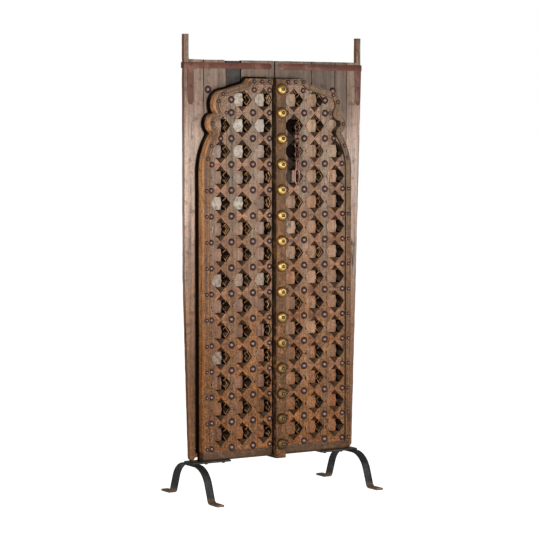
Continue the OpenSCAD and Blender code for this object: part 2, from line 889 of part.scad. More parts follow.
module left_hinge_plates() {
  color("#3f3733")
    for (n = [0:hinge_count - 1]) on_left() hinge_plate(hinge_z(n), [0, 2]);
}

module right_hinge_plates() {
  color("#3f3733")
    for (n = [0:hinge_count - 1]) hinge_plate(hinge_z(n), [1]);
}

// Pins rest by their heads on the upper knuckles
module hinge_pins() {
  color("#57504b")
    for (n = [0:hinge_count - 1])
      translate([0, axis_y, hinge_z(n) - hinge_h / 2]) {
        cylinder(d = pin_d, h = hinge_h);
        translate([0, 0, hinge_h]) cylinder(d = knuckle_d - 2, h = pin_head_h);
      }
}

// Chain on the right leaf

module chain_staple() {
  arm_front = chain_y - wire_d;
  color("#40302b")
    translate([chain_x, 0, staple_z]) {
      for (side = [-1, 1])
        translate([0, field_front, side * staple_w / 2])
          rotate([90, 0, 0]) cylinder(d = wire_d, h = field_front - arm_front);
      translate([0, arm_front, 0])
        rotate([0, 90, 0])
          rotate([0, 0, 180])
            rotate_extrude(angle = 180) translate([staple_w / 2, 0]) circle(d = wire_d);
    }
}

// Links lie by turns in the plane of the door and across it
module chain_link(n) {
  color("#40302b")
    translate([chain_x, chain_y, link_z(n)])
      rotate(n % 2 == 1 ? [90, 0, 0] : [0, 90, 0])
        torus(link_r, wire_d);
}

module chain_link_1() { chain_link(1); }

module chain_link_2() { chain_link(2); }

module chain_link_3() { chain_link(3); }

module chain_link_4() { chain_link(4); }

module chain_link_5() { chain_link(5); }

module chain_link_6() { chain_link(6); }

module chain_link_7() { chain_link(7); }

module chain_link_8() { chain_link(8); }

// Flat hasp: a narrow eye above, a long slot below and a worn point
module chain_hasp() {
  eye_r = wire_d / 2 + link_gap;
  eye_end = -hasp_eye_l;
  slot_top = eye_end - hasp_neck_w / 2 - hasp_slot_w / 2;
  slot_end = slot_top - hasp_slot_l + hasp_slot_w;
  color("#40302b")
    translate([chain_x, 0, link_z(link_count) - link_r])
      slab(chain_y - hasp_t / 2, chain_y + hasp_t / 2)
        difference() {
          union() {
            circle(d = hasp_neck_w);
            translate([-hasp_neck_w / 2, slot_top]) square([hasp_neck_w, -slot_top]);
            translate([0, slot_top]) circle(d = hasp_w);
            translate([-hasp_w / 2, slot_end]) square([hasp_w, slot_top - slot_end]);
            polygon([
              [-hasp_w / 2, slot_end], [-hasp_tip_w, slot_end - hasp_tip],
              [hasp_tip_w, slot_end - hasp_tip], [hasp_w / 2, slot_end]
            ]);
          }
          circle(r = eye_r);
          translate([-eye_r, eye_end]) square([2 * eye_r, -eye_end]);
          translate([0, eye_end]) circle(r = eye_r);
          translate([0, slot_top]) circle(d = hasp_slot_w);
          translate([-hasp_slot_w / 2, slot_end]) square([hasp_slot_w, slot_top - slot_end]);
          translate([0, slot_end]) circle(d = hasp_slot_w);
        }
}

// Feet

// Half of the bent bar's outline, front to back and up
module half_foot_2d() {
  turn = 90 - leg_angle;
  mid = bar_t / 2;
  crown_c = [crown, foot_top - mid - crown_r];
  knee = crown_c + crown_r * [sin(turn), cos(turn)];
  ankle_z = mid + ankle_r;
  shin_end_z = ankle_z - ankle_r * cos(turn);
  shin_l = (knee[1] - shin_end_z) / sin(turn);
  shin_end = knee + shin_l * [cos(turn), -sin(turn)];
  ankle_c = shin_end + ankle_r * [sin(turn), cos(turn)];
  translate([-eps, foot_top - bar_t]) square([crown + eps, bar_t]);
  bent_2d(crown_c, crown_r, 90 - turn, 90);
  translate(knee) rotate(-turn) translate([-eps, -mid]) square([shin_l + 2 * eps, bar_t]);
  bent_2d(ankle_c, ankle_r, 270 - turn, 270);
  translate([ankle_c[0], 0]) square([pad_l, bar_t]);
}

// Bent stretch of the bar between two angles about a centre
module bent_2d(centre, mid_r, from, to) {
  far = 3 * mid_r;
  translate(centre)
    intersection() {
      difference() {
        circle(mid_r + bar_t / 2);
        circle(mid_r - bar_t / 2);
      }
      polygon([
        [0, 0], far * [cos(from), sin(from)],
        far * [cos((from + to) / 2), sin((from + to) / 2)], far * [cos(to), sin(to)]
      ]);
    }
}

module foot_bar(x) {
  translate([x - bar_w / 2, 0, 0])
    rotate([90, 0, 90])
      linear_extrude(bar_w) {
        half_foot_2d();
        mirror([1, 0]) half_foot_2d();
      }
}

module left_foot_bar() { color("#26282b") on_left() foot_bar(left_foot_x); }

module right_foot_bar() { color("#26282b") foot_bar(right_foot_x); }

// The plate reaches from under the lower pivot inwards below the carved field
module foot_plate(x) {
  translate([x + bar_w / 2 - plate_l, -plate_w / 2, foot_top]) cube([plate_l, plate_w, plate_t]);
}

module left_foot_plate() { color("#2a2624") on_left() foot_plate(left_foot_x); }

module right_foot_plate() { color("#2a2624") foot_plate(right_foot_x); }

// Bolt heads under the plate, that hold the leaf down
module foot_bolts(x) {
  for (inwards = foot_bolt_shares)
    translate([x + bar_w / 2 - plate_l * inwards, field_front - lattice_t / 2, foot_top - foot_bolt_h])
      cylinder(d = foot_bolt_d, h = foot_bolt_h, $fn = 6);
}

module left_foot_bolts() { color("#26282b") on_left() foot_bolts(left_foot_x); }

module right_foot_bolts() { color("#26282b") foot_bolts(right_foot_x); }

left_hinge_stile();
left_plank_outer();
left_plank_sunk();
left_plank_inner();
left_field_board();
left_upright_1();
left_upright_2();
left_upright_3();
left_upright_4();
left_cross_rails();
left_corner_block();
left_star_blocks();
left_arch_border();
left_bottom_rail();
left_iron_studs();
left_small_studs();
left_corner_strap();
left_rivets();
left_back_ledges();
left_foot_bar();
left_foot_plate();
left_foot_bolts();
right_hinge_stile();
right_plank_outer();
right_plank_middle();
right_plank_inner();
right_field_board();
right_upright_1();
right_upright_2();
right_upright_3();
right_upright_4();
right_cross_rails();
right_corner_block();
right_star_blocks();
right_arch_border();
right_bottom_rail();
right_iron_studs();
right_small_studs();
right_corner_strap();
right_rivets();
right_back_ledges();
right_foot_bar();
right_foot_plate();
right_foot_bolts();
centre_stile();
brass_bosses();
boss_nails();
left_hinge_plates();
right_hinge_plates();
hinge_pins();
chain_staple();
chain_link_1();
chain_link_2();
chain_link_3();
chain_link_4();
chain_link_5();
chain_link_6();
chain_link_7();
chain_link_8();
chain_hasp();
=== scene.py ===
"""Looks of an antique pair of lattice door leaves on iron feet."""
import json
import math
import random

import bpy
from mathutils import Matrix, Vector


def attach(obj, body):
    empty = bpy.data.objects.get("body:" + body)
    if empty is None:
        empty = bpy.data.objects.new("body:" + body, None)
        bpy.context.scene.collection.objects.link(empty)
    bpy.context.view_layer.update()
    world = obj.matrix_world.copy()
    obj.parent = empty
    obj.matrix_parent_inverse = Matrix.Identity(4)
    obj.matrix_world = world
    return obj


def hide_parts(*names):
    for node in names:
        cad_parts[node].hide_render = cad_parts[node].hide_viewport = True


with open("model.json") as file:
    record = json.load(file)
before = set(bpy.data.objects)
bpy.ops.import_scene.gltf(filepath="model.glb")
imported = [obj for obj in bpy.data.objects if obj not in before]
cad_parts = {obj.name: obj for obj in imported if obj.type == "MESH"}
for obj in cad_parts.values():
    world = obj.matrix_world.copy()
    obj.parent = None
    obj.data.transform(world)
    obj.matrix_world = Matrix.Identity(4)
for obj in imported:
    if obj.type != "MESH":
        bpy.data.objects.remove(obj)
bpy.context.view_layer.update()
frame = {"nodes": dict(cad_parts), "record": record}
nodes = frame["nodes"]
body_of = {n: b for b, names in frame["record"]["behaviour"]["bodies"].items() for n in names}
MM = 0.001

# Edges that turn by more than this are worn round
SHARP = math.radians(32)
# How far behind the foremost point a face still counts as the front
FRONT_SLACK = 0.1 * MM
# Keeps a division from meeting zero
TINY = 1e-12
# Sockets of the mix node when it mixes colours
MIX_FACTOR, MIX_FIRST, MIX_SECOND, MIX_RESULT = 0, 6, 7, 2


# Shader helpers

class Graph:
    """Short calls for building a node tree."""

    def __init__(self, tree):
        self.tree = tree

    def add(self, kind, **values):
        node = self.tree.nodes.new(kind)
        for key, value in values.items():
            setattr(node, key, value)
        return node

    def put(self, socket, value):
        if isinstance(value, bpy.types.NodeSocket):
            self.tree.links.new(value, socket)
        else:
            socket.default_value = value

    def math(self, operation, a, b=0.0, clamp=False):
        node = self.add("ShaderNodeMath", operation=operation, use_clamp=clamp)
        self.put(node.inputs[0], a)
        self.put(node.inputs[1], b)
        return node.outputs[0]

    def vector(self, operation, a, b):
        node = self.add("ShaderNodeVectorMath", operation=operation)
        self.put(node.inputs[0], a)
        self.put(node.inputs[1], b)
        return node.outputs[0]

    def scaled(self, a, factor):
        node = self.add("ShaderNodeVectorMath", operation="SCALE")
        self.put(node.inputs[0], a)
        self.put(node.inputs["Scale"], factor)
        return node.outputs[0]

    def span(self, value, low, high, to_low=0.0, to_high=1.0, smooth=False):
        node = self.add("ShaderNodeMapRange", clamp=True)
        node.interpolation_type = "SMOOTHSTEP" if smooth else "LINEAR"
        limits = {"Value": value, "From Min": low, "From Max": high, "To Min": to_low, "To Max": to_high}
        for name, setting in limits.items():
            self.put(node.inputs[name], setting)
        return node.outputs[0]

    def noise(self, vector, scale, detail=4.0, rough=0.55, distortion=0.0):
        node = self.add("ShaderNodeTexNoise")
        self.put(node.inputs["Vector"], vector)
        self.put(node.inputs["Scale"], scale)
        self.put(node.inputs["Detail"], detail)
        self.put(node.inputs["Roughness"], rough)
        self.put(node.inputs["Distortion"], distortion)
        return node.outputs[0]

    def mix(self, factor, a, b, blend="MIX"):
        node = self.add("ShaderNodeMix", data_type="RGBA", blend_type=blend)
        self.put(node.inputs[MIX_FACTOR], factor)
        self.put(node.inputs[MIX_FIRST], a)
        self.put(node.inputs[MIX_SECOND], b)
        return node.outputs[MIX_RESULT]

    def grey(self, value):
        node = self.add("ShaderNodeCombineColor")
        for n in range(3):
            self.put(node.inputs[n], value)
        return node.outputs[0]

    def split(self, vector):
        node = self.add("ShaderNodeSeparateXYZ")
        self.put(node.inputs[0], vector)
        return node.outputs

    def attribute(self, name):
        return self.add("ShaderNodeAttribute", attribute_name=name).outputs["Fac"]


def make_group(name, inputs, outputs):
    tree = bpy.data.node_groups.new(name, "ShaderNodeTree")
    for label, kind, default in inputs:
        socket = tree.interface.new_socket(label, in_out="INPUT", socket_type=kind)
        socket.default_value = default
    for label, kind in outputs:
        tree.interface.new_socket(label, in_out="OUTPUT", socket_type=kind)
    graph = Graph(tree)
    return tree, graph, graph.add("NodeGroupInput").outputs, graph.add("NodeGroupOutput").inputs


F, V, C = "NodeSocketFloat", "NodeSocketVector", "NodeSocketColor"
BLACK = (0, 0, 0, 1)


def rgb(r, g, b):
    """Display colour, 0 to 255, as a linear shader colour, by the usual display curve."""
    def linear(c):
        c /= 255
        return c / 12.92 if c <= 0.04045 else ((c + 0.055) / 1.055) ** 2.4
    return (linear(r), linear(g), linear(b), 1.0)


# Colours that gather on the wood or show through it, and colours for painted shade, painted shadow and
# painted sheen
SHADE_AND_SOOT = (0.003, 0.002, 0.002, 1)
CRACK = (0.012, 0.008, 0.006, 1)
ARCH_SHADOW = (0.004, 0.003, 0.002, 1)
PAINTED_SHEEN_TONE = rgb(150, 136, 128)
WARM_WOOD = rgb(158, 104, 58)
DUST = rgb(176, 150, 124)
LIMEWASH = rgb(178, 172, 160)
SEAM_DIRT = rgb(34, 21, 13)
CHAIN_SHADOW_AND_DIRT = rgb(20, 13, 10)

# Heights in metres over which the wood turns from warm to weathered, and over which it gets less pitted
WEATHERED = (0.30, 1.75)
PITTED = (0.3, 1.3)
# Heights over which the painted sheen, a pale glare painted on the middle of the boards, begins and ends
SHEEN_BEGINS = (0.62, 1.40)
SHEEN_ENDS = (1.52, 1.88)
# How far one unit of the seed moves the grain
SEED_STEP = (13.7, 5.1, 9.3)


# Old wood: grain, pits, cracks, stains, a painted sheen over the middle heights, painted shade in the depth
# that is partly soot, a painted shadow beside the arch and dust on ledges
def wood_group():
    tree, g, i, o = make_group("old wood", [
        ("Position", V, (0, 0, 0)), ("Normal", V, (0, 0, 1)), ("Stretch", V, (1, 1, 1)), ("Seed", F, 0.0),
        ("Tint", F, 0.0), ("Low", C, BLACK), ("High", C, BLACK), ("Side", C, BLACK), ("Top Side", C, BLACK),
        ("Dark", C, BLACK), ("Front Y", F, -0.042), ("Deep Y", F, -0.002), ("Grime", F, 0.8),
        ("Cracks", F, 0.5), ("Stains", F, 0.5), ("Dust", F, 0.3), ("Ledge", F, 0.8), ("Sheen", F, 0.0),
        ("Arch Shadow", F, 0.0), ("Polish", F, 0.32), ("Mottle", F, 1.0), ("Warm", F, 0.0),
    ], [("Color", C), ("Roughness", F), ("Height", F), ("Gloss", F)])
    where = g.vector("ADD", i["Position"], g.scaled(SEED_STEP, i["Seed"]))
    along = g.vector("MULTIPLY", where, i["Stretch"])
    streak = g.noise(along, scale=60.0, detail=6.0, rough=0.62, distortion=0.4)
    fine = g.noise(along, scale=330.0, detail=3.0, rough=0.6)
    split = g.noise(along, scale=15.0, detail=2.0, rough=0.5)
    blotch = g.noise(where, scale=6.5, detail=4.0, rough=0.6)
    spots = g.noise(where, scale=31.0, detail=5.0, rough=0.65)
    pits = g.noise(where, scale=150.0, detail=3.0, rough=0.6)
    bare = g.noise(where, scale=38.0, detail=4.0, rough=0.6)
    xyz = g.split(i["Position"])
    facing = g.split(i["Normal"])

    # Ground colour, by height and by the way that the face looks; on several woods the colours of the sides
    # are painted shade, and on the left border a painted lit side
    patch = g.math("MULTIPLY", g.math("SUBTRACT", blotch, 0.5), 1.6)
    age = g.math("ADD", g.span(xyz["Z"], *WEATHERED), patch, clamp=True)
    front = g.span(g.math("ABSOLUTE", facing["Y"]), 0.45, 0.85, smooth=True)
    base = g.mix(front, g.mix(age, i["Side"], i["Top Side"]), g.mix(age, i["Low"], i["High"]))

    # Light and dark of the grain, the pits and the painted sheen
    bands = g.span(streak, 0.30, 0.70, to_low=-0.42, to_high=0.34)
    lines = g.span(fine, 0.32, 0.68, to_low=-0.20, to_high=0.16)
    shade = g.math("ADD", 1.0, g.math("ADD", bands, lines))
    shade = g.math("MULTIPLY", shade, g.math("ADD", 1.0, g.math("MULTIPLY", i["Tint"], 0.3)))
    speckle = g.math("MULTIPLY", g.span(pits, 0.36, 0.62, to_low=-0.55, to_high=0.16), i["Mottle"])
    speckle = g.math("MULTIPLY", speckle, g.span(xyz["Z"], *PITTED, to_low=1.5, to_high=0.8))
    shade = g.math("MULTIPLY", shade, g.math("ADD", 1.0, speckle))
    # Painted sheen: the boards are lightened and paled over the middle heights
    begins = g.span(xyz["Z"], *SHEEN_BEGINS, smooth=True)
    ends = g.span(xyz["Z"], *SHEEN_ENDS, to_low=1.0, to_high=0.0, smooth=True)
    painted_sheen = g.math("MULTIPLY", g.math("MULTIPLY", begins, ends), i["Sheen"])
    shade = g.math("MULTIPLY", shade, g.math("ADD", 1.0, g.math("MULTIPLY", painted_sheen, 0.5)))

    # Tones of the painted sheen and of warm bare wood
    base = g.mix(g.math("MULTIPLY", painted_sheen, 0.45), base, PAINTED_SHEEN_TONE)
    less_when_aged = g.span(age, 0.0, 1.0, to_low=1.0, to_high=0.4)
    bare = g.span(bare, 0.50, 0.66, smooth=True)
    bare = g.math("MULTIPLY", bare, g.math("MULTIPLY", i["Warm"], less_when_aged))
    base = g.mix(bare, base, WARM_WOOD)
    color = g.mix(1.0, base, g.grey(shade), "MULTIPLY")

    # Stains, painted shade in the depth that is partly soot, cracks, the painted shadow beside the arch, and
    # dust
    near = g.math("ABSOLUTE", g.math("SUBTRACT", split, 0.5))
    crack = g.span(near, 0.002, 0.011, to_low=1.0, to_high=0.0)
    crack = g.math("MULTIPLY", crack, g.span(blotch, 0.45, 0.62))
    crack = g.math("MULTIPLY", crack, i["Cracks"])
    stain = g.math("MULTIPLY", g.span(spots, 0.54, 0.72, smooth=True), i["Stains"])
    color = g.mix(stain, color, i["Dark"])
    # Painted shade, partly soot: darker with depth, less on faces that look to the front
    depth = g.span(xyz["Y"], i["Front Y"], i["Deep Y"])
    shade_and_soot = g.math("MULTIPLY", depth, g.math("SUBTRACT", 1.0, g.math("MULTIPLY", front, i["Ledge"])))
    shade_and_soot = g.math("MULTIPLY", shade_and_soot, i["Grime"])
    color = g.mix(shade_and_soot, color, SHADE_AND_SOOT)
    color = g.mix(crack, color, CRACK)
    # Painted shadow of the arch on the boards beside it
    arch_shadow = g.span(i["Arch Shadow"], 0.1, 0.6, smooth=True)
    color = g.mix(arch_shadow, color, ARCH_SHADOW)
    dust = g.math("MULTIPLY", g.span(facing["Z"], 0.35, 0.9), i["Dust"])
    color = g.mix(dust, color, DUST)

    g.put(o["Color"], color)
    clean = g.math("SUBTRACT", 1.0, g.math("MAXIMUM", shade_and_soot, arch_shadow))
    g.put(o["Gloss"], g.math("MULTIPLY", clean, i["Polish"]))
    g.put(o["Roughness"], g.span(streak, 0.3, 0.7, to_low=0.44, to_high=0.66))
    relief = g.math("ADD", g.math("MULTIPLY", streak, 0.7), g.math("MULTIPLY", fine, 0.35))
    relief = g.math("ADD", relief, g.math("MULTIPLY", g.math("ADD", spots, pits), 0.45))
    g.put(o["Height"], g.math("SUBTRACT", relief, g.math("MULTIPLY", crack, 1.2)))
    return tree


# Forged iron: mottled skin with rust in patches
def iron_group():
    tree, g, i, o = make_group("forged iron", [
        ("Position", V, (0, 0, 0)), ("Skin", C, BLACK), ("Rust", C, BLACK), ("Pale", C, BLACK),
        ("Amount", F, 0.5),
    ], [("Color", C), ("Roughness", F), ("Height", F)])
    mottle = g.noise(i["Position"], scale=46.0, detail=5.0, rough=0.62)
    grit = g.noise(i["Position"], scale=310.0, detail=3.0, rough=0.6)
    worn = g.noise(i["Position"], scale=17.0, detail=3.0, rough=0.5)
    rust = g.math("MULTIPLY", g.span(mottle, 0.38, 0.62, smooth=True), i["Amount"])
    color = g.mix(rust, i["Skin"], i["Rust"])
    color = g.mix(g.math("MULTIPLY", g.span(worn, 0.52, 0.72), 0.5), color, i["Pale"])
    color = g.mix(1.0, color, g.grey(g.span(grit, 0.3, 0.7, to_low=0.72, to_high=1.25)), "MULTIPLY")
    g.put(o["Color"], color)
    g.put(o["Roughness"], g.span(mottle, 0.35, 0.65, to_low=0.28, to_high=0.48))
    g.put(o["Height"], g.math("ADD", mottle, g.math("MULTIPLY", grit, 0.35)))
    return tree


old_wood = wood_group()
forged_iron = iron_group()


def new_material(name):
    mat = bpy.data.materials.new(name)
    mat.use_nodes = True
    g = Graph(mat.node_tree)
    shader = mat.node_tree.nodes["Principled BSDF"]
    place = g.add("ShaderNodeTexCoord").outputs["Object"]
    return mat, g, shader, place


def bump(g, shader, height, strength, distance):
    node = g.add("ShaderNodeBump")
    g.put(node.inputs["Height"], height)
    node.inputs["Strength"].default_value = strength
    node.inputs["Distance"].default_value = distance
    g.put(shader.inputs["Normal"], node.outputs[0])


# Painted shadow of the chain on the wood, with dirt where it rubs: its line, the heights of its ends, its
# fading and its ragged edge
joints = {joint["name"]: joint for joint in frame["record"]["behaviour"]["joints"]}
CHAIN_MARK_X = joints["link_1_swing"]["pos_m"][0] - 14 * MM
CHAIN_MARK_LOW, CHAIN_MARK_HIGH = 1.43, 1.67
CHAIN_MARK_FADE = (22 * MM, 34 * MM)
CHAIN_MARK_RAGGED = 12 * MM


def chain_shadow_and_rub(g, place):
    xyz = g.split(place)
    across = g.math("ABSOLUTE", g.math("SUBTRACT", xyz["X"], CHAIN_MARK_X))
    below = g.math("SUBTRACT", CHAIN_MARK_LOW, xyz["Z"])
    above = g.math("SUBTRACT", xyz["Z"], CHAIN_MARK_HIGH)
    past = g.math("MAXIMUM", g.math("MAXIMUM", below, above), 0.0)
    ragged = g.math("MULTIPLY", g.noise(place, scale=55.0), CHAIN_MARK_RAGGED)
    away = g.math("ADD", g.math("ADD", across, past), ragged)
    return g.span(away, *CHAIN_MARK_FADE, to_low=0.9, to_high=0.0, smooth=True)


# Depth of the joint in the left border, and the widths between which its dirt fades
BORDER_SEAM = -25 * MM
SEAM_FADE = (1.2 * MM, 2.4 * MM)

# Grain that runs up a board, along a ledge and along a lattice rail
UPRIGHT = (1, 1, 0.05)
LYING = (0.05, 1, 1)
ALONG_RAIL = (0.06, 1, 1)
WOOD_RELIEF = 1.6 * MM
DEEP_RELIEF = 3 * MM
BLOCK_RELIEF = 2.5 * MM


def wood(name, low, high, side, top_side=None, dark=(44, 28, 18), stretch=UPRIGHT, lime=False, chained=False,
         seam=None, relief=WOOD_RELIEF, **amounts):
    mat, g, shader, place = new_material(name)
    group = g.add("ShaderNodeGroup", node_tree=old_wood)
    tint = g.attribute("tint")
    g.put(group.inputs["Position"], place)
    g.put(group.inputs["Normal"], g.add("ShaderNodeNewGeometry").outputs["Normal"])
    g.put(group.inputs["Tint"], tint)
    g.put(group.inputs["Seed"], tint)
    g.put(group.inputs["Arch Shadow"], g.attribute("arch_shadow"))
    group.inputs["Stretch"].default_value = stretch
    colours = {"Low": low, "High": high, "Side": side, "Top Side": top_side or side, "Dark": dark}
    for key, value in colours.items():
        group.inputs[key].default_value = rgb(*value)
    for key, value in amounts.items():
        group.inputs[key.replace("_", " ")].default_value = value
    color = group.outputs["Color"]
    if lime:
        patchy = g.span(g.noise(place, scale=62.0, detail=5.0, rough=0.62), 0.34, 0.58, to_low=0.1)
        color = g.mix(g.math("MULTIPLY", g.attribute("lime"), patchy, clamp=True), color, LIMEWASH)
    if seam:
        beside = g.math("ABSOLUTE", g.math("SUBTRACT", g.split(place)["Y"], seam))
        dirty = g.span(beside, *SEAM_FADE, to_low=1.0, to_high=0.0)
        broken = g.span(g.noise(place, scale=24.0), 0.36, 0.46, to_low=0.25, to_high=0.9)
        color = g.mix(g.math("MULTIPLY", dirty, broken), color, SEAM_DIRT)
    if chained:
        # Painted shadow of the chain, with dirt where it rubs the wood
        color = g.mix(chain_shadow_and_rub(g, place), color, CHAIN_SHADOW_AND_DIRT)
    g.put(shader.inputs["Base Color"], color)
    g.put(shader.inputs["Roughness"], group.outputs["Roughness"])
    g.put(shader.inputs["Specular IOR Level"], group.outputs["Gloss"])
    bump(g, shader, group.outputs["Height"], strength=0.8, distance=relief)
    return mat


# The ends of the feet are brown, and the brown fades between these heights
BROWN_END = rgb(118, 92, 72)
BROWN_FADE = (6 * MM, 30 * MM)
# Direction that the painted highlights on the crowns of studs, nails and links face
HIGHLIGHT_SIDE = (-0.34, -0.93, 0.12)
IRON_GLOSS = 0.3
IRON_RELIEF = 0.6 * MM


def iron(name, skin, rust, pale, amount, metallic, brown_ends=False, matt=0.0, painted_highlight=None):
    mat, g, shader, place = new_material(name)
    group = g.add("ShaderNodeGroup", node_tree=forged_iron)
    g.put(group.inputs["Position"], place)
    for key, value in (("Skin", skin), ("Rust", rust), ("Pale", pale)):
        group.inputs[key].default_value = rgb(*value)
    group.inputs["Amount"].default_value = amount
    color = group.outputs["Color"]
    if brown_ends:
        low = g.span(g.split(place)["Z"], *BROWN_FADE, to_low=0.85, to_high=0.0)
        color = g.mix(low, color, BROWN_END)
    # Painted highlight: faces turned towards this side take a pale colour
    if painted_highlight:
        turn = g.add("ShaderNodeVectorMath", operation="DOT_PRODUCT")
        g.put(turn.inputs[0], g.add("ShaderNodeNewGeometry").outputs["Normal"])
        turn.inputs[1].default_value = HIGHLIGHT_SIDE
        color = g.mix(g.span(turn.outputs["Value"], 0.86, 0.99, smooth=True), color, rgb(*painted_highlight))
    g.put(shader.inputs["Base Color"], color)
    g.put(shader.inputs["Roughness"], g.math("ADD", group.outputs["Roughness"], matt))
    shader.inputs["Metallic"].default_value = metallic
    shader.inputs["Specular IOR Level"].default_value = IRON_GLOSS - 0.5 * matt
    bump(g, shader, group.outputs["Height"], strength=0.7, distance=IRON_RELIEF)
    return mat


BRASS = rgb(158, 124, 72)
TARNISHED = rgb(92, 70, 42)
BRASS_RELIEF = 0.5 * MM


def brass_material():
    mat, g, shader, place = new_material("aged brass")
    mottle = g.noise(place, scale=60.0, detail=5.0, rough=0.6)
    uneven = g.math("MULTIPLY", g.math("SUBTRACT", mottle, 0.5), 0.9)
    worn = g.span(g.math("ADD", g.attribute("tarnish"), uneven), 0.25, 0.85)
    g.put(shader.inputs["Base Color"], g.mix(worn, BRASS, TARNISHED))
    g.put(shader.inputs["Roughness"], g.span(worn, 0.0, 1.0, to_low=0.40, to_high=0.56))
    shader.inputs["Metallic"].default_value = 1.0
    bump(g, shader, mottle, strength=0.35, distance=BRASS_RELIEF)
    return mat


# Settings that several woods share; the front and deep levels say where the painted shade, partly soot,
# begins and is full
BOARD = {"Grime": 0.0, "Stains": 0.6}
GLOSSY_BOARD_WITH_PAINTED_SHEEN = {**BOARD, "Cracks": 0.9, "Sheen": 1.3, "Polish": 0.34}
CARVED = {"Stains": 0.8, "Polish": 0.2, "Mottle": 0.9, "relief": DEEP_RELIEF}
BORDER = {**CARVED, "Front_Y": -0.05, "Deep_Y": 0.02, "Grime": 0.2, "Cracks": 0.9}
LATTICE = {"Front_Y": -0.0415, "Deep_Y": -0.0385, "Grime": 0.99, "Stains": 0.7, "Polish": 0.15, "Mottle": 0.9,
           "Warm": 0.5, "relief": DEEP_RELIEF}
BLOCK = {"Front_Y": -0.0128, "Deep_Y": -0.0105, "Grime": 0.95, "Cracks": 0.9, "Polish": 0.2, "Mottle": 0.7,
         "Warm": 0.35, "relief": BLOCK_RELIEF}
# Side walls of the lattice, the blocks, the right border and the centre stile are painted dark: painted shade
PAINTED_SHADE_SIDE = (46, 30, 20)
PAINTED_SHADE_GREY_SIDE = (46, 32, 22)

materials = {
    "hinge stile": wood("hinge stiles", (116, 76, 44), (120, 100, 87), (112, 72, 44), Mottle=0.45, Warm=0.5,
                        **GLOSSY_BOARD_WITH_PAINTED_SHEEN),
    "board": wood("grey-brown boards", (112, 72, 44), (116, 97, 84), (26, 18, 13), Mottle=0.35, Warm=0.15,
                  **GLOSSY_BOARD_WITH_PAINTED_SHEEN),
    "dark board": wood("dark sunk board", (46, 40, 36), (54, 50, 47), (24, 18, 15), Cracks=0.6, **BOARD),
    "ledge": wood("back ledges", (112, 82, 60), (126, 98, 78), (100, 70, 48), stretch=LYING, Grime=0.0),
    # The sides of the left border are painted far lighter than its front, palest higher up: a painted lit
    # side
    "left border": wood("warm carved border", (112, 72, 42), (92, 72, 58), (158, 102, 56), (206, 152, 106),
                        seam=BORDER_SEAM, Warm=0.4, **BORDER),
    "right border": wood("grey carved border", (106, 72, 46), (106, 86, 68), PAINTED_SHADE_GREY_SIDE, Warm=0.3, **BORDER),
    "upright": wood("lattice bars", (120, 80, 47), (128, 110, 95), PAINTED_SHADE_SIDE, chained=True, Ledge=0.06,
                    **LATTICE),
    "rail": wood("lattice rails", (128, 80, 45), (138, 109, 91), PAINTED_SHADE_SIDE, stretch=ALONG_RAIL, chained=True,
                 Ledge=0.45, **LATTICE),
    "worn edge": wood("lattice edges", (192, 134, 84), (212, 166, 122), (200, 146, 96), Front_Y=-0.0375,
                      Deep_Y=-0.0395, Grime=0.82, Ledge=0.0, Stains=0.4, Polish=0.1),
    # The field board is painted near black: painted shade in the deep star openings and beside the arch,
    # partly soot
    "field": wood("cusped field board", (20, 13, 9), (20, 14, 10), (24, 15, 10), dark=(9, 6, 5), Grime=0.0,
                  Polish=0.02),
    "left block": wood("left star blocks", (118, 76, 48), (144, 118, 104), PAINTED_SHADE_SIDE, lime=True, **BLOCK),
    "right block": wood("right star blocks", (134, 88, 56), (160, 130, 106), PAINTED_SHADE_SIDE, lime=True,
                        chained=True, **BLOCK),
    "stile": wood("centre stile", (104, 68, 38), (92, 69, 48), PAINTED_SHADE_GREY_SIDE, Front_Y=-0.070, Deep_Y=0.0,
                  Grime=0.35, Warm=0.6, **CARVED),
    "bottom": wood("bottom rails", (76, 54, 37), (76, 54, 37), (72, 48, 30), stretch=LYING, Stains=0.8,
                   Grime=0.3, Dust=0.2, Polish=0.2, Mottle=0.5, Warm=0.2),
    "stud": iron("dark studs", (62, 42, 38), (70, 42, 34), (84, 66, 62), amount=0.6, metallic=0.4, matt=0.04,
                 painted_highlight=(112, 94, 90)),
    "strap": iron("rusted straps", (82, 50, 41), (92, 50, 36), (134, 98, 82), amount=0.7, metallic=0.1,
                  matt=0.12),
    "chain": iron("chain iron", (44, 26, 21), (68, 36, 27), (92, 60, 52), amount=0.6, metallic=0.3,
                  painted_highlight=(142, 98, 86)),
    "nail": iron("boss nails", (34, 28, 26), (40, 30, 26), (52, 46, 42), amount=0.5, metallic=0.1,
                 painted_highlight=(112, 102, 96)),
    "foot": iron("black feet", (38, 41, 41), (58, 48, 40), (70, 73, 71), amount=0.28, metallic=0.35,
                 brown_ends=True),
    "brass": brass_material(),
}


# Worn copies of the CAD pieces; widths, depths and steps in these calls are in mm

def select_only(obj):
    bpy.ops.object.select_all(action="DESELECT")
    obj.select_set(True)
    bpy.context.view_layer.objects.active = obj


def apply_all(obj):
    select_only(obj)
    for modifier in list(obj.modifiers):
        bpy.ops.object.modifier_apply(modifier=modifier.name)


def copy_of(node, label):
    obj = bpy.data.objects.new(label, nodes[node].data.copy())
    bpy.context.scene.collection.objects.link(obj)
    obj.data.materials.clear()
    select_only(obj)
    bpy.ops.object.mode_set(mode="EDIT")
    bpy.ops.mesh.select_all(action="SELECT")
    bpy.ops.mesh.remove_doubles(threshold=0.02 * MM)
    bpy.ops.mesh.dissolve_limited(angle_limit=math.radians(0.6))
    bpy.ops.mesh.normals_make_consistent(inside=False)
    bpy.ops.object.mode_set(mode="OBJECT")
    bpy.ops.mesh.customdata_custom_splitnormals_clear()
    return obj


